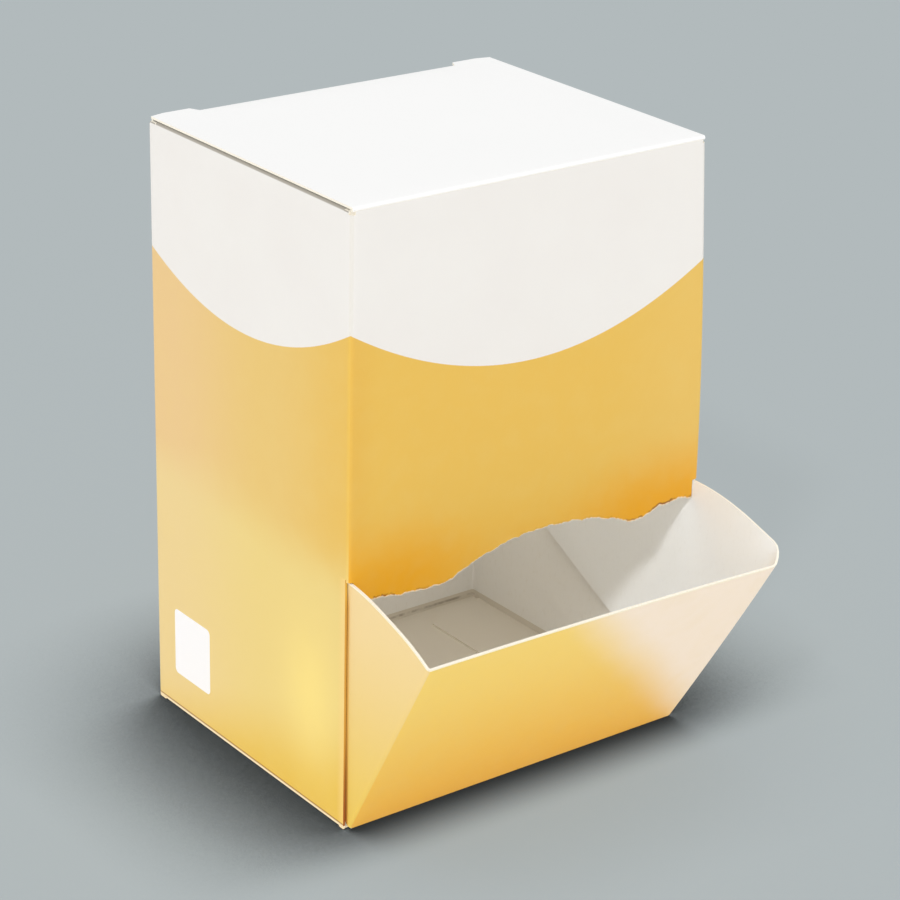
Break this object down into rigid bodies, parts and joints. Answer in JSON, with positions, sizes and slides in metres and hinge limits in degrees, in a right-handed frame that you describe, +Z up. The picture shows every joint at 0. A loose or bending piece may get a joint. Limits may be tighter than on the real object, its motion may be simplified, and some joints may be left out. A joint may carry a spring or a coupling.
{
  "type": "dispenser box",
  "caption": "Upright folding carton with a tuck-in lid, a torn perforated mouth and a tilting gravity-feed chute at the front foot.",
  "frame": {"origin": "centre of the carton's bottom panel, on the surface it stands on", "axes": "+Z up, -Y towards the front with the chute, +X towards the right side panel seen from the front"},
  "size_m": [0.1134, 0.1223, 0.165],
  "materials": {
    "carton_board": "clay-coated, satin, white above and gold below",
    "lid_board": "clay-coated, satin white",
    "chute_board": "clay-coated, satin gold outside, bare inside"
  },
  "bodies": {
    "box": {"carton": "carton_board"},
    "lid": {"top_lid": "lid_board"},
    "chute": {"dispenser_chute": "chute_board"}
  },
  "joints": [
    {"name": "lid_hinge", "type": "hinge", "parent": "box", "child": "lid", "pos_m": [0, -0.0444, 0.1644], "axis": [1, 0, 0], "range_deg": [0, 180]},
    {"name": "chute_hinge", "type": "hinge", "parent": "box", "child": "chute", "pos_m": [0, -0.0444, 0.0006], "axis": [-1, 0, 0], "range_deg": [0, 27.5]}
  ]
}
